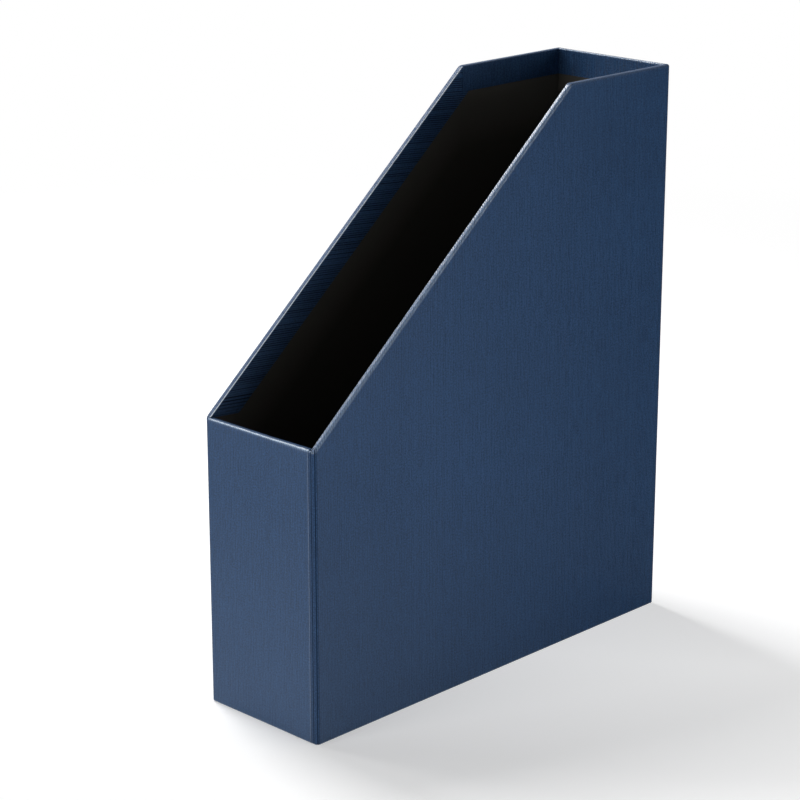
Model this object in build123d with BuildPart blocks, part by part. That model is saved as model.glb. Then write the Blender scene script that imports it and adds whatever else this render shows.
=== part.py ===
from build123d import *
from math import hypot
import os

# A rigid magazine file: five boards taped at their edges, wrapped in one ribbed cover sheet and
# lined with paper. Sizes are in millimetres. It stands on z = 0, with its low front towards -Y.

os.makedirs("parts", exist_ok=True)

# Outside sizes of the finished file
width = 82.0
depth = 275.0
height = 320.0  # at the back
front_height = 160.0
top_depth = 84.0  # level stretch of a side's top edge, as far as the back's outer face

# Sheet materials
board = 2.2
cover_paper = 0.30
glue_line = 0.15  # glue under the cover, where the stay tapes lie
lining_paper = 0.25
base_paper = 0.30
stay_paper = 0.12

# Roundings, on the outside
corner_radius = 2.1  # upright corners
rim_radius = 1.15  # arrises of the rim
foot_radius = 0.6  # arris round the foot

# Folds and laps of the cover sheet
turn_in = 14.5  # from the rim down the inside, over the linings
foot_turn_in = 16.0  # from the outside in under the base
lap_width = 12.0  # overlap of the sheet's two ends, on the front
lap_from_corner = 4.5  # from the upper end of the sheet to the right-hand corner

# Linings, tapes and the sheet under the base
lining_gap = 0.4  # left free round the base lining
base_inset = 2.0  # from the outside to the edge of the sheet under the base
stay_leg = 12.0  # from the board edge to the side of a tape
stay_end = 3.0  # left bare beyond each end of a tape

# Thickness of the glued cover, and of a wall with the cover folded over its rim
skin = cover_paper + glue_line
wall = skin + board + lining_paper + skin

# Levels of the foot and the floor
foot = base_paper
board_foot = foot + skin
floor = board_foot + board

# Faces of the walls, from the outside in
right = width / 2
back = depth / 2
front = -depth / 2 + cover_paper  # the lap stands one paper proud of this face
board_right = right - skin
board_back = back - skin
board_front = front + skin
inner_right = board_right - board
inner_back = board_back - board
inner_front = board_front + board
lined_right = inner_right - lining_paper
lined_back = inner_back - lining_paper
lined_front = inner_front + lining_paper
folded_right = lined_right - skin
folded_back = lined_back - skin
folded_front = lined_front + skin

# The boards' edges are cut square, so an arris is limited by the cover's thickness over them, and an
# upright corner by what the rim's arrises leave of a wall. The boards are rounded inside the corners.
rim_arris = min(rim_radius, 3 * skin)
foot_arris = min(foot_radius, 2 * skin)
corner = min(corner_radius, wall - rim_arris)
board_corner = corner - skin

# Slope of a side's top edge: its rise for each millimetre back, and its length
rise = (height - front_height) / (back - top_depth - front)
lean = hypot(1, rise)


def slope_z(y, drop):
    """Height at y of the sloping edge, after moving it squarely down by drop."""
    return front_height + rise * (y - front) - lean * drop


def crease_y(drop):
    """Where the sloping edge meets the level one, both moved down by drop."""
    return front + (height - drop - front_height + lean * drop) / rise


def side_outline(near, far, low, drop):
    """Corners of a side wall, from y = near to far, standing on low, its top edge down by drop."""
    return [
        (near, low),
        (near, slope_z(near, drop)),
        (crease_y(drop), height - drop),
        (far, height - drop),
        (far, low),
    ]


def side_layer(inner, outer, outline):
    """A layer of the right side: the outline, from x = inner to outer."""
    with BuildPart() as layer:
        with BuildSketch(Plane.YZ.offset(inner)):
            with BuildLine():
                Polyline(*outline, close=True)
            make_face()
        extrude(amount=outer - inner)
    return layer.part


def cross_layer(half, near, far, low, high):
    """A layer across the file, from x = -half to half, y = near to far and z = low to high."""
    with BuildPart() as layer:
        with BuildSketch(Plane.XY.offset(low)):
            with Locations((0, (near + far) / 2)):
                Rectangle(2 * half, far - near)
        extrude(amount=high - low)
    return layer.part


def side_wall(inner, outer, near, far, low, drop, radius):
    """A right-hand wall with its upright outer corners rounded."""
    with BuildPart() as panel:
        add(side_layer(inner, outer, side_outline(near, far, low, drop)))
        fillet(panel.edges().filter_by(Axis.Z).group_by(Axis.X)[-1], radius)
    return panel.part


def covered_cross(near, far, high):
    """The covered front or back wall, between the sides, with both arrises of its rim rounded."""
    with BuildPart() as panel:
        add(cross_layer(folded_right, near, far, foot, high))
        fillet(panel.faces().sort_by(Axis.Z)[-1].edges().filter_by(Axis.X), rim_arris)
    return panel.part


# Boards: the sides run the full depth, and the front, the back and the base stand between them
with BuildPart() as right_side_board:
    add(side_wall(inner_right, board_right, board_front, board_back, board_foot, skin, board_corner))
right_side_board.part.label = "right_side_board"

with BuildPart() as left_side_board:
    mirror(right_side_board.part, about=Plane.YZ)
left_side_board.part.label = "left_side_board"

with BuildPart() as front_board:
    add(cross_layer(inner_right, board_front, inner_front, board_foot, front_height - skin))
front_board.part.label = "front_board"

with BuildPart() as back_board:
    add(cross_layer(inner_right, inner_back, board_back, board_foot, height - skin))
back_board.part.label = "back_board"

with BuildPart() as base_board:
    add(cross_layer(inner_right, inner_front, inner_back, board_foot, floor))
base_board.part.label = "base_board"

boards = [front_board.part, back_board.part, left_side_board.part, right_side_board.part, base_board.part]

# Stay tapes over the upright corners, bent round the boards and bedded in the glue line
taped_width = 2 * board_right
taped_depth = board_back - board_front
stay_foot = board_foot + stay_leg + stay_end

corner_stays = []
for end, corner_y, top in (("front", board_front, front_height), ("back", board_back, height)):
    for hand, corner_x in (("left", -board_right), ("right", board_right)):
        with BuildPart() as corner_stay:
            with BuildSketch(Plane.XY.offset(stay_foot)):
                with Locations((0, (board_front + board_back) / 2)):
                    RectangleRounded(
                        taped_width + 2 * stay_paper, taped_depth + 2 * stay_paper, board_corner + stay_paper
                    )
                    RectangleRounded(taped_width, taped_depth, board_corner, mode=Mode.SUBTRACT)
                with Locations((corner_x, corner_y)):
                    Rectangle(2 * stay_leg, 2 * stay_leg, mode=Mode.INTERSECT)
            extrude(amount=top - rim_radius - stay_end - stay_foot)
        corner_stay.part.label = "corner_stay_" + end + "_" + hand
        corner_stays.append(corner_stay.part)

# Section of a tape along the base: one leg up the wall's outside, the other in under the boards.
# It is drawn with the wall's outer face at zero and the outside towards plus.
stay_section = [
    (0, board_foot),
    (0, board_foot + stay_leg),
    (stay_paper, board_foot + stay_leg),
    (stay_paper, board_foot - stay_paper),
    (-stay_leg, board_foot - stay_paper),
    (-stay_leg, board_foot),
]

base_stays = []
cross_reach = board_right - stay_leg - stay_end
for name, face_y, outwards in (("front", board_front, -1), ("back", board_back, 1)):
    with BuildPart() as base_stay:
        with BuildSketch(Plane.YZ.offset(-cross_reach)):
            with BuildLine():
                Polyline(*[(face_y + outwards * y, z) for y, z in stay_section], close=True)
            make_face()
        extrude(amount=2 * cross_reach)
    base_stay.part.label = "base_stay_" + name
    base_stays.append(base_stay.part)

side_start = board_front + stay_leg + stay_end
side_length = board_back - stay_leg - stay_end - side_start
for name, outwards in (("left", -1), ("right", 1)):
    with BuildPart() as base_stay:
        with BuildSketch(Plane.ZX.offset(side_start)):
            with BuildLine():
                Polyline(*[(z, outwards * (board_right + x)) for x, z in stay_section], close=True)
            make_face()
        extrude(amount=side_length)
    base_stay.part.label = "base_stay_" + name
    base_stays.append(base_stay.part)

# Linings, glued to the insides of the boards: the front's and the back's lie between the sides'
with BuildPart() as lining_right:
    add(side_layer(lined_right, inner_right, side_outline(inner_front, inner_back, floor, skin)))
lining_right.part.label = "lining_right"

with BuildPart() as lining_left:
    mirror(lining_right.part, about=Plane.YZ)
lining_left.part.label = "lining_left"

with BuildPart() as lining_front:
    add(cross_layer(lined_right, inner_front, lined_front, floor, front_height - skin))
lining_front.part.label = "lining_front"

with BuildPart() as lining_back:
    add(cross_layer(lined_right, lined_back, inner_back, floor, height - skin))
lining_back.part.label = "lining_back"

with BuildPart() as lining_base:
    near = lined_front + lining_gap
    far = lined_back - lining_gap
    add(cross_layer(lined_right - lining_gap, near, far, floor, floor + lining_paper))
lining_base.part.label = "lining_base"

linings = [lining_left.part, lining_right.part, lining_front.part, lining_back.part, lining_base.part]

# Cover: one sheet round the four walls, over the rim and down the inside, and in under the base.
# The covered walls are made solid, and what lies inside the sheet is then taken out of them.
with BuildPart() as covered_side:
    add(side_wall(folded_right, right, front, back, foot, 0, corner))
    tops = covered_side.faces().filter_by(lambda face: face.normal_at().Z > 0)
    crease = crease_y(0)
    fillet(tops.edges().filter_by(lambda edge: abs(edge.center().Y - crease) > 0.01), rim_arris)

with BuildPart() as side_hollow:
    add(side_layer(folded_right, lined_right, side_outline(inner_front, inner_back, board_foot, turn_in)))

with BuildPart() as cover_wrap:
    add(covered_side.part)
    mirror(covered_side.part, about=Plane.YZ)
    add(covered_cross(front, folded_front, front_height))
    add(covered_cross(folded_back, back, height))
    add(cross_layer(folded_right, folded_front, folded_back, foot, board_foot))
    fillet(cover_wrap.faces().sort_by(Axis.Z)[0].edges(), foot_arris)
    with BuildSketch(Plane.XY.offset(foot)):
        with Locations((0, (front + back) / 2)):
            Rectangle(width - 2 * foot_turn_in, back - front - 2 * foot_turn_in)
    extrude(amount=skin, mode=Mode.SUBTRACT)
    add(side_hollow.part, mode=Mode.SUBTRACT)
    mirror(side_hollow.part, about=Plane.YZ, mode=Mode.SUBTRACT)
    for near, far, top in ((lined_front, folded_front, front_height), (folded_back, lined_back, height)):
        add(cross_layer(folded_right, near, far, board_foot, top - turn_in), mode=Mode.SUBTRACT)
    for inside in boards + corner_stays + base_stays + linings:
        add(inside, mode=Mode.SUBTRACT)
    with BuildSketch(Plane.XY.offset(foot + foot_arris)):
        with Locations((right - lap_from_corner - lap_width / 2, front - cover_paper / 2)):
            Rectangle(lap_width, cover_paper)
    extrude(amount=front_height - rim_arris - foot - foot_arris)
cover_wrap.part.label = "cover_wrap"

# Sheet under the base, over the cover's folded foot
with BuildPart() as base_sheet:
    add(cross_layer(right - base_inset, front + base_inset, back - base_inset, 0, foot))
base_sheet.part.label = "base_sheet"

# Write one STEP file for each piece
for piece in [*boards, *corner_stays, *base_stays, *linings, cover_wrap.part, base_sheet.part]:
    export_step(piece, "parts/" + piece.label + ".step")
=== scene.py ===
# %% [markdown]
# # A magazine file in ribbed book paper
#
# The real object is a bookbinder's box. Five boards are taped together at their edges, lined inside
# with black paper, and wrapped in one sheet of ribbed navy paper that folds over the rim and down the
# inside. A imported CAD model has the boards, tapes, linings and cover with their true sizes. This lesson
# loads that model as a fixed frame and dresses it, so every length below comes from it.

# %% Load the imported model
import math

import bmesh
import bpy
import numpy as np
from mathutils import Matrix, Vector


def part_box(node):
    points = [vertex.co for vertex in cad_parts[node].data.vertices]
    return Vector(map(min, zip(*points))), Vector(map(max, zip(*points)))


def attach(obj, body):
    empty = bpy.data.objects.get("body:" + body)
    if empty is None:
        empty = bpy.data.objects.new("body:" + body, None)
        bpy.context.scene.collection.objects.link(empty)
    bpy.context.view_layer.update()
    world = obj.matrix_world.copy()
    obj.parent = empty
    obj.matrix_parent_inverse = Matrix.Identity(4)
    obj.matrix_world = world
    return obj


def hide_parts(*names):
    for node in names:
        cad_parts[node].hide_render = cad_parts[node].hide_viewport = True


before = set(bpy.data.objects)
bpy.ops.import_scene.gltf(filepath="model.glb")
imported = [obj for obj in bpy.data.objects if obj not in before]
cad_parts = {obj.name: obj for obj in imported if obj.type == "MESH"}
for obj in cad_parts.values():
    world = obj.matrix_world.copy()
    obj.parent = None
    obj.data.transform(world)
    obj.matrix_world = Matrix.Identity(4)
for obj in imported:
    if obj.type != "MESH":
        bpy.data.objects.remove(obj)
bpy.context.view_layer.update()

print("pieces in the packed model:", len(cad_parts))

# %% [markdown]
# ## The sizes that the paper has to meet
#
# A cover sheet has no shape of its own: it takes the shape of the boards. So its faces are found from
# the boxes of the boards and the linings, and only what those boxes can't tell is written as a number,
# such as how far a fold reaches. Work goes on in millimetres, as on a binder's bench, and the
# mesh is scaled to metres when it is made.

# %% Faces of the covered walls
MM = 0.001


def box_mm(node):
    """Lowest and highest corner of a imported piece, in millimetres."""
    return tuple(np.array(corner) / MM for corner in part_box(node))


cover_low, cover_high = box_mm("cover_wrap")
front_low, front_high = box_mm("front_board")
side_low, side_high = box_mm("right_side_board")
lining_low, lining_high = box_mm("lining_right")

skin = cover_high[0] - side_high[0]  # the cover and its glue
side_x = cover_high[0]
back_y = cover_high[1]
front_y = front_low[1] - skin
foot_z = cover_low[2]
top_z = cover_high[2]
front_top = front_high[2] + skin
inside_x = lining_low[0] - skin
wall = side_x - inside_x
print(f"skin {skin:.2f} mm, covered wall {wall:.2f} mm, front wall {front_top:.0f} mm high")

# %% Folds and roundings
level_length = 84.0  # level stretch of a side's top edge
turn_in = 14.5  # from the rim down the inside
foot_turn_in = 16.0
paper = 0.30
corner_round = 2.1  # upright corners
rim_round = 1.15  # outer arris of the rim
inner_round = 0.6  # its inner arris, where the paper is pulled tight
foot_round = 0.6
crease_round = 1.5  # half the length of the rounding where the slope meets the level stretch

crease_y = back_y - level_length
rise = (top_z - front_top) / (crease_y - front_y)
lean = math.hypot(1, rise)
sine, cosine = rise / lean, 1 / lean
print(f"the slope rises {math.degrees(math.atan(rise)):.1f} degrees")

# %% [markdown]
# ## The camera
#
# The camera stands to the right of the front and a little above the rim, and looks down on the box. Its
# place and its lens were found by fitting nine of the box's corners to the picture. The lens isn't
# shifted, because the same camera is carried round the box for the other views.

# %% Camera
def make_camera(place, turn, tilt, lens_mm):
    """The camera, by its place, its turn from the front and its tilt below the horizon."""
    lens = bpy.data.cameras.new("camera")
    lens.sensor_width = 36
    lens.lens = lens_mm
    lens.clip_start, lens.clip_end = 0.05, 60
    camera = bpy.data.objects.new("camera", lens)
    camera.location = place
    camera.rotation_euler = (math.pi / 2 - tilt, 0, turn)
    bpy.context.scene.collection.objects.link(camera)
    bpy.context.scene.camera = camera
    return camera


camera = make_camera(place=(0.8926, -0.9473, 0.5579), turn=0.7742, tilt=0.3055, lens_mm=112.4)
print("camera", [round(value, 3) for value in camera.location])

# %% [markdown]
# ## Shader maths as plain expressions
#
# A material is a small calculation: a tone made from noise, a roughness made from the tone. Written node
# by node it is hard to read, so this class wraps a node's output socket, and the usual signs then add
# the Math nodes. Every other kind of node comes from one function that first sets the node up and then
# fills its inputs with numbers or links.

# %% A socket that can be calculated with
class Wire:
    """The output of a node. Sums and products of wires and numbers are wires."""

    def __init__(self, socket):
        self.socket = socket
        self.tree = socket.id_data

    def maths(self, operation, *values):
        settings = {"operation": operation}
        return add_node(self.tree, "ShaderNodeMath", settings, dict(enumerate(values)))

    def __add__(self, other):
        return self.maths("ADD", self, other)

    def __radd__(self, other):
        return self.maths("ADD", other, self)

    def __sub__(self, other):
        return self.maths("SUBTRACT", self, other)

    def __rsub__(self, other):
        return self.maths("SUBTRACT", other, self)

    def __mul__(self, other):
        return self.maths("MULTIPLY", self, other)

    def __rmul__(self, other):
        return self.maths("MULTIPLY", other, self)

    def at_least(self, other):
        return self.maths("MAXIMUM", self, other)

    def at_most(self, other):
        return self.maths("MINIMUM", self, other)

    def clipped(self):
        """The same value, kept between 0 and 1."""
        return add_node(
            self.tree, "ShaderNodeMath", {"operation": "ADD", "use_clamp": True}, {0: self, 1: 0.0}
        )


def add_node(tree, kind, settings, values, output=0):
    """A new node of a kind: first its settings, then each input's number or wire."""
    node = tree.nodes.new(kind)
    for name, setting in settings.items():
        setattr(node, name, setting)
    for name, value in values.items():
        if isinstance(value, Wire):
            tree.links.new(value.socket, node.inputs[name])
        else:
            node.inputs[name].default_value = value
    return Wire(node.outputs[output]) if node.outputs else node


print("wires can be added, subtracted and multiplied")


# %% Helpers that every finish uses
def tint(red, green, blue):
    """A colour given by its 0 to 255 screen values, as the linear colour that a shader takes."""
    def linear(value):
        value = value / 255
        return value / 12.92 if value <= 0.04045 else ((value + 0.055) / 1.055) ** 2.4

    return (linear(red), linear(green), linear(blue), 1)


def blend(share, first, second):
    """A colour between two colours. On the Mix node, inputs 6 and 7 and output 2 are the colours."""
    values = {0: share, 6: first, 7: second}
    return add_node(share.tree, "ShaderNodeMix", {"data_type": "RGBA"}, values, output=2)


def noise(tree, place, dimensions, scale, detail, roughness=0.5, distortion=0.0):
    """Noise from 0 to 1 over a sheet (2D) or through the box (3D), scale grains to a metre."""
    values = {"Vector": place, "Scale": scale, "Detail": detail}
    values.update({"Roughness": roughness, "Distortion": distortion})
    return add_node(tree, "ShaderNodeTexNoise", {"noise_dimensions": dimensions}, values)


def place_in_box(tree):
    """A point's place in the box in metres, and its x, y and z."""
    place = add_node(tree, "ShaderNodeTexCoord", {}, {}, output="Object")
    parts = [
        add_node(tree, "ShaderNodeSeparateXYZ", {}, {"Vector": place}, output=axis) for axis in "XYZ"
    ]
    return place, *parts


def new_finish(name):
    """An empty node material and its tree."""
    material = bpy.data.materials.new(name)
    material.use_nodes = True
    material.node_tree.nodes.clear()
    return material, material.node_tree


def surface(tree, shader):
    """Joins a shader to the material's output."""
    add_node(tree, "ShaderNodeOutputMaterial", {}, {"Surface": shader})


print("linear value of a middle grey:", round(tint(128, 128, 128)[0], 3))

# %% [markdown]
# ## Ribbed navy book paper
#
# The cover is a tough book paper with fine ribs pressed into it, dyed dark navy. The ribs are real relief
# in the mesh, made further on, and the mesh also carries three marks for this finish: how rubbed the
# paper is on its folds, which also sets a painted highlight there, how deep a point lies between two
# ribs, which sets a painted shade there, and a painted shade on the rounded upright corners.
# The finish adds what is finer than a rib: fibres that run with the ribs, specks, and a cloudy dye.
#
# A dyed paper is rubbed pale and polished where it is folded, so the mark of a fold lightens the colour
# and adds a thin coat; the pale colour on the rim's arrises is also a painted highlight, white where it
# is strongest. A painted grey sheen lies over the front, most of all near its foot, and fades back along
# the sides.

# %% Dye of the ribbed paper
def dye_with_painted_shade_and_sheen(tree, streak, grit, cloud, valley_shade, corner_shade):
    """The paper's dye, cloudy, with painted shade between the ribs and on the rounded corners, and a
    painted grey sheen over the front.
    """
    tone = (0.25 * streak + 0.68 * grit + 0.07 * cloud - 0.5) * 3.6 + 0.58
    # Painted shade between the ribs and on the rounded upright corners darkens the tone.
    tone = tone - 0.35 * valley_shade - 0.15 * corner_shade
    dye_shade_and_sheen = blend(tone.clipped(), tint(26, 50, 80), tint(46, 80, 121))
    _, _, y, z = place_in_box(tree)
    # A painted grey sheen over the front, fading back along the sides, stronger near the foot and less on
    # the shaded corners.
    front_sheen = (0.5 - 3.6 * y - 0.6 * corner_shade).clipped()
    near_foot = (1.0 - 8.0 * z).clipped()  # gone 125 mm up
    dye_shade_and_sheen = blend(front_sheen * (0.16 + 0.1 * near_foot), dye_shade_and_sheen, tint(110, 121, 138))
    # Painted shade: the deepest valleys, on the slopes' turn-ins and the shaded corners, go almost black.
    return blend((valley_shade - 1.0).clipped(), dye_shade_and_sheen, tint(5, 12, 24))


def rubbed_and_highlit_colour(dye_shade_and_sheen, wear_and_highlight, grit, valley_shade):
    """The dye with its folds rubbed pale and lit by a painted highlight on the ribs' crowns, white where
    the mark is strongest.
    """
    crown = (wear_and_highlight * wear_and_highlight * (1.1 - valley_shade)).clipped()
    rubbed_and_highlit = (crown * (0.6 + 1.2 * (grit - 0.5))).clipped()
    colour = blend(rubbed_and_highlit, dye_shade_and_sheen, tint(158, 186, 215))
    # A painted highlight, white where the fold mark passes 1.
    return blend((2.0 * wear_and_highlight - 2.0).clipped(), colour, tint(236, 242, 250))


def mark(tree, name):
    """A mark that the mesh carries."""
    return add_node(tree, "ShaderNodeAttribute", {"attribute_name": name}, {}, output="Fac")


print("dye from", [round(value, 3) for value in tint(26, 50, 80)[:3]], "in linear values")


# %% Ribbed paper
def ribbed_paper():
    """The cover's finish."""
    material, tree = new_finish("ribbed_navy_paper")
    sheet = add_node(tree, "ShaderNodeUVMap", {"uv_map": "sheet"}, {})
    along_ribs = {"Vector": sheet, "Scale": (1.0, 0.07, 1.0)}
    fibres = add_node(tree, "ShaderNodeMapping", {"vector_type": "POINT"}, along_ribs)
    streak = noise(tree, fibres, "2D", scale=1400.0, detail=2.0, roughness=0.6)
    grit = noise(tree, sheet, "2D", scale=1100.0, detail=3.0, roughness=0.7)
    cloud = noise(tree, sheet, "2D", scale=14.0, detail=3.0)
    wear_and_highlight, valley_shade, corner_shade = mark(tree, "fold"), mark(tree, "valley_shade"), mark(tree, "corner_shade")
    dye_shade_and_sheen = dye_with_painted_shade_and_sheen(tree, streak, grit, cloud, valley_shade, corner_shade)
    relief = {"Strength": 0.8, "Distance": 0.00012, "Height": 0.6 * streak + 0.4 * grit}
    shader = add_node(
        tree,
        "ShaderNodeBsdfPrincipled",
        {},
        {
            "Base Color": rubbed_and_highlit_colour(dye_shade_and_sheen, wear_and_highlight, grit, valley_shade),
            "Roughness": 0.42 + 0.2 * (grit - 0.5),
            "Specular IOR Level": 0.05,
            "Coat Weight": (1.5 * wear_and_highlight * (1.1 - 0.6 * valley_shade)).clipped(),
            "Coat Roughness": 0.15,
            "Normal": add_node(tree, "ShaderNodeBump", {}, relief),
        },
    )
    surface(tree, shader)
    return material


navy_paper = ribbed_paper()
print("finish:", navy_paper.name)

# %% [markdown]
# ## Plain papers, board and tape
#
# Inside, the box is lined with a matt black paper, a little warm in tone, and a sheet of the same kind
# closes the base. The boards are grey pulp board and the tapes brown gummed paper. Those are hidden, but
# a cut or an opened box would show them, so they get finishes too. All four are felted fibres, so one
# function makes them from two tones, a roughness and the size of a fibre.
#
# Little light falls deep into so narrow a box. The lining's colour helps by growing darker with the
# depth under the rim, which is level at the back and follows the slope further forward.

# %% Lining, base paper, board and tape
def shaded_by_depth(tree, colour, deep):
    """The lining's colour, blended towards a darker one down the inside."""
    _, _, y, z = place_in_box(tree)
    slope = (front_top - rise * front_y) * MM + rise * y
    below = slope.at_most(top_z * MM) - z
    # It begins under the turn-in, 16 mm below the rim, and is full 31 mm further down
    return blend(((below - 0.016) * 32).clipped(), colour, deep)


def plain_paper(name, dark, pale, roughness, fibre_size, deep=None):
    """A matt paper whose fibres lie every way, and which may be darker deep down in the box."""
    material, tree = new_finish(name)
    place = place_in_box(tree)[0]
    felt = noise(tree, place, "3D", 1 / fibre_size, detail=4.0, roughness=0.6, distortion=1.5)
    cloud = noise(tree, place, "3D", scale=25.0, detail=2.0)
    colour = blend((0.7 * felt + 0.3 * cloud).clipped(), dark, pale)
    if deep:
        colour = shaded_by_depth(tree, colour, deep)
    relief = {"Strength": 0.3, "Distance": 0.00005, "Height": felt}
    shader = add_node(
        tree,
        "ShaderNodeBsdfPrincipled",
        {},
        {
            "Base Color": colour,
            "Roughness": roughness + 0.15 * (felt - 0.5),
            "Specular IOR Level": 0.15,
            "Normal": add_node(tree, "ShaderNodeBump", {}, relief),
        },
    )
    surface(tree, shader)
    return material


black_lining = plain_paper(
    "black_lining_paper", tint(54, 52, 48), tint(76, 73, 68), 0.75, 0.0009, tint(34, 32, 28)
)
base_paper = plain_paper("black_base_paper", tint(30, 30, 31), tint(46, 46, 47), 0.7, 0.0012)
grey_board = plain_paper("grey_pulp_board", tint(120, 117, 110), tint(158, 154, 146), 0.85, 0.0016)
brown_tape = plain_paper("brown_gummed_tape", tint(150, 112, 72), tint(178, 138, 94), 0.6, 0.0010)
print("finishes:", black_lining.name, base_paper.name, grey_board.name, brown_tape.name)


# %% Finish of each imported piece
def finish_for(node):
    """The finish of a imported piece, by its name."""
    if node.startswith("lining"):
        return black_lining
    if node == "base_sheet":
        return base_paper
    if "stay" in node:
        return brown_tape
    return grey_board


for name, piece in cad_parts.items():
    piece.data.materials.clear()
    piece.data.materials.append(finish_for(name))
print("finished pieces:", len(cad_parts))

# %% [markdown]
# ## The cover, one sheet of paper
#
# The binder lays one long sheet round the four walls with its ribs upright, laps its two ends at the
# right of the front, and cuts it at the corners so that it can fold over the rim. So the mesh is made
# like the sheet: a row of upright columns of points, four to each rib, that go up the wall, over the
# rim's two arrises and down the inside. A grid laid on a finished box would be easier, but its ribs
# would then cross the folds as no paper does.
#
# First comes the way round the walls. It is a list of straight runs, each with its start, its direction
# and its length, and a quarter turn after each. It starts at the sheet's upper end, on the front.

# %% The way round the walls
rib_pitch = 1.25
step = rib_pitch / 4
lap_end = 36.5  # where the sheet's upper end stops on the front
under_lap = 9.0  # from the corner to the lower end, which lies under the upper one
corner_reach = side_x - corner_round
runs = [
    ((lap_end, front_y), (-1, 0), lap_end + corner_reach),
    ((-side_x, front_y + corner_round), (0, 1), back_y - front_y - 2 * corner_round),
    ((-corner_reach, back_y), (1, 0), 2 * corner_reach),
    ((side_x, back_y - corner_round), (0, -1), back_y - front_y - 2 * corner_round),
    ((corner_reach, front_y), (-1, 0), under_lap),
]
quarter = corner_round * math.pi / 2
TINY = 1e-6


def walk(along):
    """Points round the walls at these distances along the sheet, and the ways that they face."""
    point, facing = np.zeros((len(along), 2)), np.zeros((len(along), 2))
    start = 0.0
    for (x, y), (dx, dy), length in runs:
        origin, ahead = np.array((x, y)), np.array((dx, dy))
        out = np.array((dy, -dx)) * -1
        on = (along >= start - TINY) & (along <= start + length + TINY)
        point[on] = origin + (along[on] - start)[:, None] * ahead
        facing[on] = out
        turn = (along > start + length + TINY) & (along < start + length + quarter - TINY)
        angle = ((along[turn] - start - length) / corner_round)[:, None]
        facing[turn] = out * np.cos(angle) + ahead * np.sin(angle)
        centre = origin + length * ahead - corner_round * out
        point[turn] = centre + corner_round * facing[turn]
        start += length + quarter
    return point, facing


starts = np.cumsum([0.0] + [length + quarter for _, _, length in runs])
sheet_length = starts[-1] - quarter
print(f"the sheet is {sheet_length:.0f} mm long, with {sheet_length / rib_pitch:.0f} ribs")


# %% Height of the rim
def edge_height(y):
    """Height of a side's top edge at y, rounded at the crease."""
    past = np.clip(y - crease_y, -crease_round, crease_round)
    rounded = top_z - rise * (crease_round - past) ** 2 / (4 * crease_round)
    return rounded + rise * np.minimum(y - crease_y + crease_round, 0)


def edge_lean(y):
    """How much longer an upright line is than a square one, under that edge."""
    past = np.clip((crease_round - (y - crease_y)) / (2 * crease_round), 0, 1)
    return np.hypot(1, rise * past)


print(f"rim at the front {edge_height(front_y):.1f} mm, at the crease {edge_height(crease_y):.1f} mm")

# %% [markdown]
# ### Ribs
#
# The ribs are pressed into the paper, so they are a smooth wave across the sheet, about a tenth of a
# millimetre deep. A bump in the finish would draw them too, but it would leave the rim and the corners
# smooth. Each rib's depth differs a little, by a seeded choice, and that unevenness is what makes the
# surface read as paper from a step away.

# %% Rib relief
rib_height = 0.05
seeded = np.random.default_rng(7)
rib_count = int(sheet_length / rib_pitch) + 2
rib_size = 1 + 0.25 * seeded.standard_normal(rib_count).clip(-2, 2)


def rib_relief(along):
    """How far the paper stands back from its outermost line, at these distances along the sheet."""
    rib = (along / rib_pitch).astype(int)
    wave = 0.5 - 0.5 * np.cos(2 * np.pi * along / rib_pitch)
    return -2 * rib_height * wave * rib_size[rib].clip(0.5, 1.3)


print(f"relief from {rib_relief(np.arange(0, 50, step)).min():.3f} mm to 0")

# %% [markdown]
# ### One flap of the sheet
#
# Between two cuts the sheet is a flap, and all flaps are made alike, row by row: in under the foot, up
# the wall, over the rim and down the inside. Each row notes its points, the ways they face, how far up
# the sheet it lies and how rubbed it is. The relief is laid on afterwards, along the ways they face.
#
# A fold mirrors the ribs. On a level rim they stay upright, but over a sloping one they run on along
# the edge, so a sloping flap shifts along it as it folds over. At a corner that shift would carry the
# paper in through the other wall, so it grows from nothing there.

# %% A flap and its rows
shift = 1.0  # how far a sloping flap runs along the edge, for each millimetre that it reaches over it
shift_growth = 6.0  # from the front corner to the full shift


class Flap:
    """The sheet between two cuts: its upright columns of points, and the rows made so far."""

    def __init__(self, first, last, kind):
        self.kind = kind
        self.sloped = kind.endswith("slope")
        self.side = self.sloped or kind.endswith("level")
        self.along = np.arange(round(first / step), round(last / step) + 1) * step
        point, facing = walk(self.along)
        self.x, self.y = point.T
        self.out_x, self.out_y = facing.T
        self.turned = np.abs(self.out_x)  # 1 on a side, 0 on the front and the back
        self.rows = []
        self.meet_rim()

    def meet_rim(self):
        """Finds the rim's height over each column, its upward direction and its shift."""
        level = np.zeros_like(self.x)
        if self.side:
            self.height = edge_height(self.y)
            stretch = 1 + (edge_lean(self.y) - 1) * self.turned**2
        else:
            self.height = level + (front_top if self.kind == "front" else top_z)
            stretch = level + 1
        self.wall_top = self.height - stretch * rim_round
        self.up_y = -sine * self.turned**2 if self.sloped else level
        self.up_z = np.sqrt(1 - self.up_y**2)
        past_corner = np.clip((self.y - front_y - corner_round) / shift_growth, 0, 1)
        self.run = shift * cosine * past_corner if self.sloped else level

    def row(self, x, y, z, out, climbed, fold):
        """Adds a row: its points, the ways they face, the way up the sheet and the fold mark."""
        values = np.broadcast_arrays(x, y, z, *out, climbed, fold, self.x)
        self.rows.append(np.stack(values[:8], 1))


print(f"a sloping flap shifts {shift:.1f} mm for each millimetre that it reaches over the edge")

# %% Under the foot
foot_mark = 0.6  # how rubbed the arris round the foot is


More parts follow.
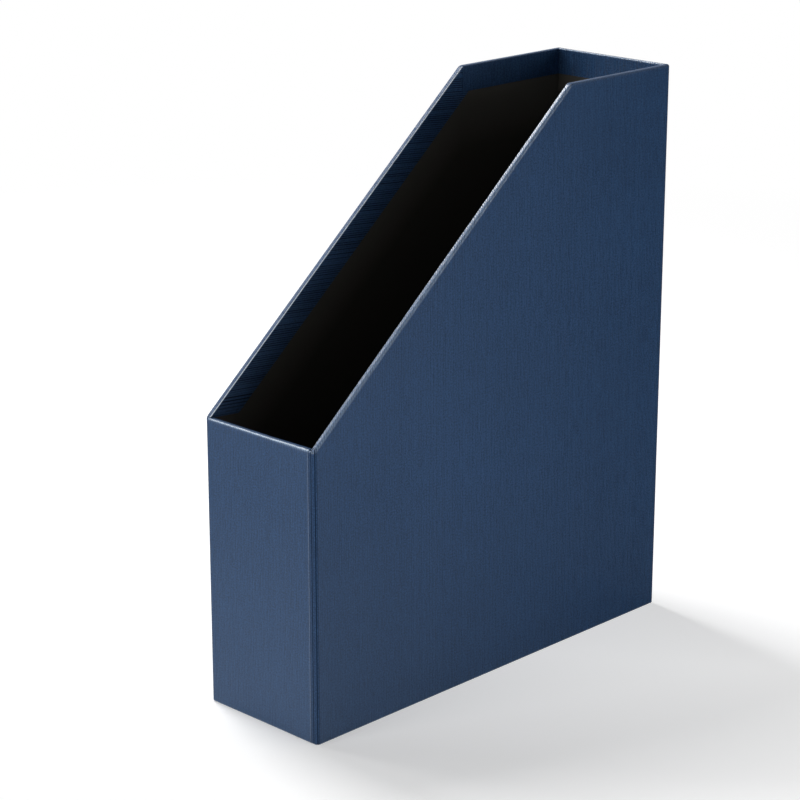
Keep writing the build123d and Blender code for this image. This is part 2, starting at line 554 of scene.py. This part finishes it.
def foot_reach(flap):
    """How far the sheet folds in under the foot, less where it meets the corner's own fold."""
    on_turn = (flap.turned > TINY) & (flap.turned < 1 - TINY)
    to_front = np.abs(flap.y - (front_y + corner_round))
    to_back = np.abs(flap.y - (back_y - corner_round))
    across = np.abs(np.abs(flap.x) - corner_reach)
    gap = np.where(flap.turned > 0.5, np.minimum(to_front, to_back), across)
    return np.where(on_turn, corner_round, np.minimum(foot_turn_in, corner_round + gap))


def fold_foot(flap):
    """Rows from the edge under the foot, outwards and up round the lower arris."""
    reach = foot_reach(flap)
    x, y, out_x, out_y = flap.x, flap.y, flap.out_x, flap.out_y
    flap.row(x - out_x * reach, y - out_y * reach, foot_z, (0, 0, -1), -reach, 0)
    for angle in np.radians([0, 45, 90]):
        inset = foot_round * (1 - math.sin(angle))
        z = foot_z + foot_round * (1 - math.cos(angle))
        out = (out_x * math.sin(angle), out_y * math.sin(angle), -math.cos(angle))
        flap.row(x - out_x * inset, y - out_y * inset, z, out, foot_round * angle, foot_mark)
    flap.row(x, y, foot_z + foot_round + 0.4, (out_x, out_y, 0), foot_round + 0.8, 0)


print(f"the foot turns in {foot_turn_in:.0f} mm")

# %% [markdown]
# ### Over the rim
#
# The paper turns over two arrises: a round outer one, and an inner one where it is pulled tight. Where
# two flaps cross, one lies under the other by about a paper's thickness, so the height of the rim is
# worked out for each point, and a flap that goes under is lowered a little.
#
# How rubbed and how highlit each part of the rim is comes from looking at the real one: the front's outer
# arris and the slopes' inner arris are the palest, partly worn and partly a painted highlight.

# %% Over the rim and down the inside
# How rubbed the outer arris, the flat of the rim, the inner arris and the paper just below it are; the
# same numbers set the painted highlight there
rubbing_and_highlight = {
    "front": (1.1, 0.2, 0.15, 0),
    "far slope": (0.05, 0.15, 1.8, 0),
    "near slope": (0.64, 0.42, 1.42, 0),
    "far level": (0.1, 0.15, 0.2, 0.15),
    "near level": (0.24, 0.08, 0.38, 0),
    "back": (0.15, 0.5, 0.9, 0.22),
}
slope_tuck = 0.25  # how far a sloping flap dips under the level one, past the crease
cross_tuck = 0.15  # how far the front's and the back's flaps dip under the sides' at a corner
arris_angles = np.radians([0, 22.5, 45, 67.5, 90])
flat = wall - rim_round - inner_round
over_arris = rim_round * math.pi / 2


def crest(flap, angle, inner):
    """Fold mark, of wear and painted highlight, of an arris at an angle of its turn: most at its middle.
    """
    outer_mark, flat_mark, inner_mark = rubbing_and_highlight[flap.kind][:3]
    top = inner_mark if inner else outer_mark
    return flat_mark + (top - flat_mark) * math.sin(2 * angle) ** 1.5


def rim_z(flap, x, y, drop):
    """Height of the folded paper at x, y, where it has turned down by drop."""
    if flap.side:
        tucked = slope_tuck * np.clip((y - crease_y) / 0.5, 0, 1) if flap.sloped else 0
        stretch = 1 + (edge_lean(y) - 1) * flap.turned**2
        return edge_height(y) - stretch * drop - tucked
    in_wall = np.clip((np.abs(x) - inside_x) / 0.6, 0, 1)
    face = front_y if flap.kind == "front" else back_y
    tucked = cross_tuck * np.clip((np.abs(y - face) - rim_round) / 0.3, 0, 1)
    side_rim = edge_height(y) if flap.kind == "front" else flap.height
    return flap.height + (side_rim - flap.height - tucked) * in_wall - drop


def climb_wall(flap):
    """Two rows near the top of the wall, which keep the fold's mark of wear and painted highlight close
    to the fold.
    """
    for below, fold in ((1.2, 0), (0.4, 0.15 * rubbing_and_highlight[flap.kind][0])):
        z = flap.wall_top - below
        flap.row(flap.x, flap.y, z, (flap.out_x, flap.out_y, 0), z, fold)


def fold_outer(flap):
    """Rows round the rim's outer arris."""
    for angle in arris_angles:
        cos, sin = math.cos(angle), math.sin(angle)
        inset, over = rim_round * (1 - cos), rim_round * angle
        x, y = flap.x - flap.out_x * inset, flap.y - flap.out_y * inset + over * flap.run
        z = rim_z(flap, x, y, rim_round * (1 - sin))
        out = (flap.out_x * cos, flap.out_y * cos + flap.up_y * sin, flap.up_z * sin)
        flap.row(x, y, z, out, flap.wall_top + over, crest(flap, angle, False))


def stands_proud(flap):
    """How far a level flap stands in, where it lies on the slope's: one paper, gone 40 mm further."""
    if flap.sloped:
        return np.zeros_like(flap.x)
    return paper * np.clip((40 - (flap.y - crease_y)) / 20, 0, 1)


def fold_inner(flap):
    """Rows round the rim's inner arris."""
    proud = stands_proud(flap)
    hand = np.sign(flap.x)
    for angle in arris_angles:
        cos, sin = math.cos(angle), math.sin(angle)
        reach, over = inner_round * sin, over_arris + flat + inner_round * angle
        if flap.side:
            x = hand * (side_x - rim_round - flat - reach * (1 + proud / inner_round))
            y = flap.y - flap.out_y * rim_round + over * flap.run
            out = (-hand * sin, flap.up_y * cos, flap.up_z * cos)
        else:
            x, y = flap.x, flap.y - flap.out_y * (rim_round + flat + reach)
            out = (0, -flap.out_y * sin, cos)
        z = rim_z(flap, x, y, inner_round * (1 - cos))
        flap.row(x, y, z, out, flap.wall_top + over, crest(flap, angle, True))


def turn_down(flap):
    """Two rows down the inside: one just below the arris, and the sheet's cut edge."""
    x, y, z, out_x, out_y, out_z, climbed, _ = flap.rows[-1].T
    down_y, down_z = (sine + shift * cosine, -cosine + shift * sine) if flap.sloped else (0, -1)
    for reach, fold in ((0.5, rubbing_and_highlight[flap.kind][3]), (turn_in - inner_round, 0.1)):
        place = (x, y + reach * down_y, z + reach * down_z)
        flap.row(*place, (out_x, out_y, out_z), climbed + reach, fold)


print(f"the rim is {flat:.2f} mm flat between its arrises")


# %% The seven flaps
def make_flap(first, last, kind):
    """A flap of the sheet, from its edge under the foot to its edge inside."""
    flap = Flap(first, last, kind)
    for add_rows in (fold_foot, climb_wall, fold_outer, fold_inner, turn_down):
        add_rows(flap)
    return flap


crease_left = starts[1] + crease_y - front_y - corner_round
crease_right = starts[3] + back_y - corner_round - crease_y
flaps = [
    make_flap(0.0, starts[1] - quarter, "front"),
    make_flap(starts[1] - quarter, crease_left, "far slope"),
    make_flap(crease_left, starts[2], "far level"),
    make_flap(starts[2], starts[3] - quarter, "back"),
    make_flap(starts[3] - quarter, crease_right, "near level"),
    make_flap(crease_right, starts[4], "near slope"),
    make_flap(starts[4], sheet_length, "front"),
]
print("columns in each flap:", [len(flap.along) for flap in flaps])

# %% [markdown]
# ### Relief and marks of the sheet
#
# The sheet's relief is its ribs, and three things more. The upper end of the sheet stands off by one
# paper's thickness, as it lies on the lower end. At the corner beside the lap the paper is pulled a
# little tighter, and the bend opens its ribs. On the turn-ins, which no hand has smoothed, the ribs
# stand higher.
#
# The marks are for the finish. A painted shade darkens the rounded upright corners, fully the one beside
# the lap together with the strip between it and the lap, and the others by half. The turn-ins of the
# slopes lie in half light, where only strong valleys show between the ribs, so there the painted shade
# between the ribs is marked more strongly than on the walls.

# %% Relief
wall_rows = slice(3, 7)
turn_in_rows = slice(-2, None)
turn_in_relief = 1.8  # how much higher the ribs stand there
lap_level, lap_fade = 6.0, 22.0  # lengths over which the upper end stands off, and comes down


def lap_height(along, row_count):
    """How far the upper end of the sheet stands off, one paper at its end and none past the lap."""
    lift = paper * (0.5 + 0.5 * np.cos(np.pi * np.clip((along - lap_level) / lap_fade, 0, 1)))
    share = np.ones(row_count)
    share[:3] = (0, 0, 0.3)
    return lift[:, None] * share[None, :]


def relief_of(flap):
    """How far each point stands off the sheet's plain outer face."""
    tightness, reach = 0.1, 3.2  # of the corner beside the lap
    by_lap = np.cos(np.pi / 2 * np.clip((flap.along - starts[4]) / reach, -1, 1)) ** 2
    eased = tightness * by_lap
    opened = 0.5 * (eased / tightness)
    ribs = rib_relief(flap.along)
    on_wall = np.zeros(len(flap.rows))
    on_wall[wall_rows] = (0.3, 1.0, 1.0, 0.4)
    relief = ribs[:, None] + (ribs * opened - eased)[:, None] * on_wall
    relief[:, turn_in_rows] *= turn_in_relief
    if flap is flaps[0]:
        relief = relief + lap_height(flap.along, len(flap.rows))
    return relief


print(f"the lap stands off {lap_height(np.zeros(1), 4)[0, 3]:.2f} mm")


# %% Marks
def corner_shading(along):
    """Marks the painted shade of the strip between the lap and the corner, and of the upright corners
    more faintly.
    """
    corner_shade = np.zeros_like(along)
    for corner_end in starts[1:5]:
        by_lap = corner_end == starts[4]
        end = corner_end + 2.0 if by_lap else corner_end
        inside = np.minimum(along - (corner_end - quarter), end - along) / 0.8
        corner_shade = np.maximum(corner_shade, np.clip(inside, 0, 1) * (1.0 if by_lap else 0.5))
    return corner_shade


def marks_of(flap):
    """The fold mark, of wear and painted highlight, and the painted valley shade and corner shade of each
    point.
    """
    fold = np.stack(flap.rows, 1)[:, :, 7]
    if flap is flaps[0]:
        # The upper end's cut edge gets a painted highlight.
        fold[flap.along < 0.8, 2:7] = 0.4  # the upper end's own cut edge
    deep = (rib_relief(flap.along) / (-2 * rib_height)).clip(0, 1)[:, None]
    corner_shade = corner_shading(flap.along)[:, None] + np.zeros_like(fold)
    valley_shade = deep * (1 + corner_shade)
    if flap.sloped:
        valley_shade[:, turn_in_rows] = 3.2 * (deep - 0.35)
    return fold, valley_shade, corner_shade


# The columns counted here carry the painted corner shade by the lap.
print("glue has soaked through at", int((corner_shading(flaps[5].along) > 0).sum()), "columns by the lap")

# %% [markdown]
# ### The sheet's mesh
#
# Each flap becomes a grid of faces, and the flaps are joined where their columns meet. The UV map is the
# flat sheet in metres, so that the finish's fibres follow the paper over every fold. The sheet's cut
# edges are then turned down by the paper's thickness, because a cut edge without one looks like foil.

# %% Mesh of the sheet
def add_flap(mesh, flap, layers):
    """Adds a flap's points and faces to the mesh."""
    sheet, *mark_layers = layers
    grid = np.stack(flap.rows, 1)
    place = grid[:, :, :3] + grid[:, :, 3:6] * relief_of(flap)[:, :, None]
    verts = [[mesh.verts.new(point * MM) for point in column] for column in place]
    for layer, values in zip(mark_layers, marks_of(flap)):
        for column, column_values in zip(verts, values):
            for vert, value in zip(column, column_values):
                vert[layer] = value
    for c in range(len(verts) - 1):
        for r in range(len(flap.rows) - 1):
            corners = ((c, r), (c, r + 1), (c + 1, r + 1), (c + 1, r))
            face = mesh.faces.new([verts[i][j] for i, j in corners])
            face.smooth = True
            for loop, (i, j) in zip(face.loops, corners):
                loop[sheet].uv = (flap.along[i] * MM, grid[i, j, 6] * MM)


def cover_mesh():
    """The whole sheet, with its flat layout and its marks."""
    mesh = bmesh.new()
    layers = [mesh.loops.layers.uv.new("sheet")]
    layers += [mesh.verts.layers.float.new(name) for name in ("fold", "valley_shade", "corner_shade")]
    for flap in flaps:
        add_flap(mesh, flap, layers)
    bmesh.ops.remove_doubles(mesh, verts=mesh.verts, dist=1e-7)
    mesh.normal_update()
    return mesh


def give_thickness(mesh):
    """Turns every cut edge of the sheet down by the paper's thickness."""
    def place_of(vert):
        return tuple(round(value, 7) for value in vert.co)

    cut = [edge for edge in mesh.edges if edge.is_boundary]
    inward = {place_of(v): -v.normal * paper * MM for edge in cut for v in edge.verts}
    made = bmesh.ops.extrude_edge_only(mesh, edges=cut)["geom"]
    for vert in [item for item in made if isinstance(item, bmesh.types.BMVert)]:
        vert.co += inward[place_of(vert)]
    for edge in cut:
        edge.smooth = False
    return len(cut)


cover = cover_mesh()
print("cut edges:", give_thickness(cover))

# %% The cover's piece
bmesh.ops.recalc_face_normals(cover, faces=cover.faces)
cover_data = bpy.data.meshes.new("ribbed_cover")
cover.to_mesh(cover_data)
cover.free()
ribbed_cover = bpy.data.objects.new("ribbed_cover", cover_data)
bpy.context.scene.collection.objects.link(ribbed_cover)
cover_data.materials.append(navy_paper)
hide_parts("cover_wrap")
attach(ribbed_cover, "root")
print("cover faces:", len(cover_data.polygons))

# %% [markdown]
# ## The studio
#
# The box stands on a white floor that fades into white surroundings, with its shadow to the right. Only
# the rays that the eye follows, straight from the camera or by way of a mirror or glass, see
# that white. Rays that light the box meet a plain pale card and a dim world instead, so the white
# background adds no light to the object.
#
# The floor that is seen is half a lit surface, which takes the shadow, and half a glow of its own, a
# stronger one towards the far left, so that the shadow stays pale. Further out it is plain white.

# %% Rays that see white
def seen_rays(tree):
    """1 for rays from the camera, from a mirror or through glass, and 0 for rays that bring light."""
    camera_ray, glossy_ray, glass_ray = [
        add_node(tree, "ShaderNodeLightPath", {}, {}, output=name)
        for name in ("Is Camera Ray", "Is Glossy Ray", "Is Transmission Ray")
    ]
    return camera_ray.at_least(glossy_ray).at_least(glass_ray)


def glow(tree, strength):
    """A plain white glow, where a strength of 1 is white."""
    values = {"Color": (1, 1, 1, 1), "Strength": strength}
    return add_node(tree, "ShaderNodeEmission", {}, values)


def mixed(tree, share, first, second):
    """A shader between two shaders."""
    return add_node(tree, "ShaderNodeMixShader", {}, {0: share, 1: first, 2: second})


print("seen white: camera, mirror and glass rays")


# %% Floor
def floor_finish():
    """White paper to the eye, a pale card to the light."""
    material, tree = new_finish("white_floor")
    place, x, y, _ = place_in_box(tree)
    distance = add_node(
        tree, "ShaderNodeVectorMath", {"operation": "LENGTH"}, {0: place}, output="Value"
    )
    # Plain white begins half a metre out and is full at a metre and a quarter
    far = (distance * 1.3 - 0.62).clipped()
    far_left = (0.97 - 4.1 * x + 6.0 * y).clipped()
    lit = add_node(tree, "ShaderNodeBsdfDiffuse", {}, {"Color": (0.66, 0.66, 0.66, 1)})
    own = mixed(tree, far_left, glow(tree, 0.37), glow(tree, 0.55))
    near = add_node(tree, "ShaderNodeAddShader", {}, {0: lit, 1: own})
    card = add_node(tree, "ShaderNodeBsdfDiffuse", {}, {"Color": (0.75, 0.75, 0.75, 1)})
    shown = mixed(tree, far, near, glow(tree, 1.0))
    surface(tree, mixed(tree, seen_rays(tree), card, shown))
    return material


def make_floor(half_width):
    """A flat floor under the box, which isn't part of the object."""
    data = bpy.data.meshes.new("floor")
    mesh = bmesh.new()
    bmesh.ops.create_grid(mesh, x_segments=8, y_segments=8, size=half_width)
    mesh.to_mesh(data)
    mesh.free()
    floor = bpy.data.objects.new("floor", data)
    bpy.context.scene.collection.objects.link(floor)
    data.materials.append(floor_finish())
    return floor


floor = make_floor(half_width=12)
print("floor:", floor.name)

# %% [markdown]
# ### Soft boxes
#
# Six soft lamps light the box. A tall one high on the left draws the shadow and lights the inside of the
# far wall, and a small one beside it puts the glint on the front's rim. One low in front lights the
# front. The right side is in half shade: a lamp behind on the right, a small one above it and a weak one
# close to the front corner fill it.

# %% Soft boxes
box_middle = Vector((0, 0, 0.15))


def soft_box(name, towards, distance, size, power):
    """A soft light of a width and height in metres, that faces the box from a direction."""
    light = bpy.data.lights.new(name, "AREA")
    light.shape = "RECTANGLE"
    light.size, light.size_y = size
    light.energy = power
    lamp = bpy.data.objects.new(name, light)
    way = Vector(towards).normalized()
    lamp.location = box_middle + way * distance
    lamp.rotation_mode = "QUATERNION"
    lamp.rotation_quaternion = way.to_track_quat("Z", "Y")
    lamp.visible_camera = False
    bpy.context.scene.collection.objects.link(lamp)
    return lamp


lamps = [
    soft_box("high_left", (-0.56, 0.06, 0.83), 1.7, (0.45, 0.9), 25),
    soft_box("glint", (-0.67, -0.26, 0.70), 1.7, (0.3, 0.3), 4),
    soft_box("front", (-0.16, -0.98, 0.06), 1.6, (0.55, 0.8), 16.4),
    soft_box("right_fill", (0.45, -0.15, 0.02), 0.475, (0.15, 0.1), 0.55),
    soft_box("back_right", (0.85, 0.45, 0.22), 1.6, (0.6, 0.35), 3.6),
    soft_box("top_right", (0.80, 0.05, 0.56), 1.6, (0.3, 0.3), 1.0),
]
print("lamps:", [lamp.name for lamp in lamps])


# %% White surroundings
def backdrop(tree, strength):
    """A plain white world of a strength."""
    values = {"Color": (1, 1, 1, 1), "Strength": strength}
    return add_node(tree, "ShaderNodeBackground", {}, values)


def make_world():
    """White to the eye, and a dim light from every side."""
    world = bpy.data.worlds.new("studio")
    world.use_nodes = True
    tree = world.node_tree
    tree.nodes.clear()
    shown = mixed(tree, seen_rays(tree), backdrop(tree, 0.03), backdrop(tree, 1.0))
    add_node(tree, "ShaderNodeOutputWorld", {}, {"Surface": shown})
    bpy.context.scene.world = world
    return world


world = make_world()
bpy.context.scene.view_settings.view_transform = "Standard"
print("world:", world.name)
